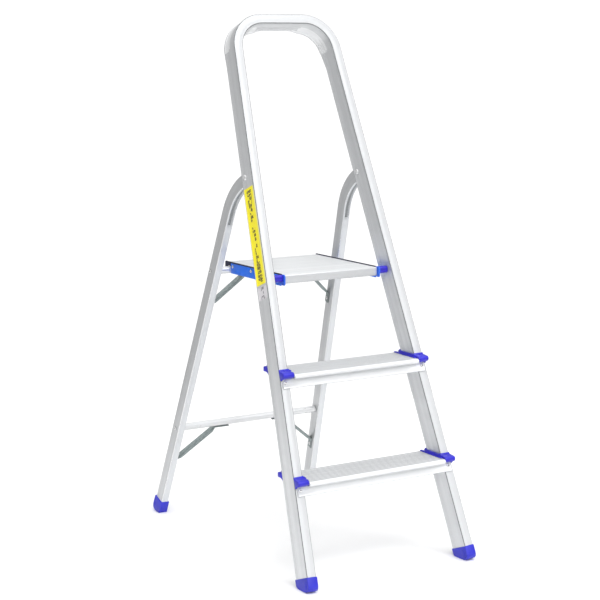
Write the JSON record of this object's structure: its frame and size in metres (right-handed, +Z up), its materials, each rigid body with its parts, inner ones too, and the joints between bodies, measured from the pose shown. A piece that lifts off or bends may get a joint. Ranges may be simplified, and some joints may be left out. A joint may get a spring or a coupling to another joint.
{
  "type": "step ladder",
  "caption": "Folding aluminium step ladder with a hoop handrail, two ribbed treads, a fold-down platform and a hinged braced rear frame on plastic feet.",
  "frame": {"origin": "centre of the footprint on the floor, ladder open", "axes": "+Z up, -Y is the front that the user climbs, +X is the right side seen from the front"},
  "size_m": [0.4876, 0.7814, 1.2995],
  "materials": {
    "aluminium": "extruded mill finish, satin, faint draw lines",
    "blue_plastic": "moulded, semi-matt",
    "azure_paint": "satin paint",
    "zinc_steel": "bright zinc plate",
    "rivet": "bright, set rivets",
    "yellow_label": "printed vinyl sticker, abstract marks only",
    "pale_label": "printed vinyl sticker, abstract marks only"
  },
  "bodies": {
    "front_frame": {"front_hoop": "aluminium", "tread_lower": "aluminium", "tread_middle": "aluminium", "leg_pivot_rivet_left": "rivet", "leg_pivot_rivet_right": "rivet", "platform_pivot_pin_left": "rivet", "platform_pivot_pin_right": "rivet", "instruction_label": "yellow_label", "small_label": "pale_label", "tread_cap_lower_left": "blue_plastic", "tread_rivet_lower_left": "rivet", "tread_cap_lower_right": "blue_plastic", "tread_rivet_lower_right": "rivet", "tread_cap_middle_left": "blue_plastic", "tread_rivet_middle_left": "rivet", "tread_cap_middle_right": "blue_plastic", "tread_rivet_middle_right": "rivet", "front_foot_left": "blue_plastic", "front_foot_right": "blue_plastic"},
    "rear_frame": {"rear_foot_left": "blue_plastic", "rear_leg_left": "aluminium", "upper_brace_left": "zinc_steel", "upper_tube_rivet_left": "rivet", "upper_brace_tube_rivet_left": "rivet", "upper_brace_leg_rivet_left": "rivet", "lower_brace_left": "zinc_steel", "lower_tube_rivet_left": "rivet", "lower_brace_tube_rivet_left": "rivet", "lower_brace_leg_rivet_left": "rivet", "rear_foot_right": "blue_plastic", "rear_leg_right": "aluminium", "upper_brace_right": "zinc_steel", "upper_tube_rivet_right": "rivet", "upper_brace_tube_rivet_right": "rivet", "upper_brace_leg_rivet_right": "rivet", "lower_brace_right": "zinc_steel", "lower_tube_rivet_right": "rivet", "lower_brace_tube_rivet_right": "rivet", "lower_brace_leg_rivet_right": "rivet", "upper_cross_tube": "aluminium", "lower_cross_tube": "aluminium"},
    "platform": {"platform_deck": "aluminium", "platform_bracket_left": "azure_paint", "platform_pivot_bush_left": "blue_plastic", "platform_rivet_rear_left": "rivet", "platform_rivet_front_left": "rivet", "platform_bracket_right": "azure_paint", "platform_pivot_bush_right": "blue_plastic", "platform_rivet_rear_right": "rivet", "platform_rivet_front_right": "rivet"}
  },
  "joints": [
    {"name": "rear_fold", "type": "hinge", "parent": "front_frame", "child": "rear_frame", "pos_m": [0, 0.007, 0.9115], "axis": [-1, 0, 0], "range_deg": [0, 40.5]},
    {"name": "platform_lift", "type": "hinge", "parent": "front_frame", "child": "platform", "pos_m": [0, -0.10315, 0.6785], "axis": [1, 0, 0], "range_deg": [0, 68.4]}
  ],
  "couplings": [
    {"joint": "platform_lift", "follows": "rear_fold", "ratio": 1.6876}
  ]
}
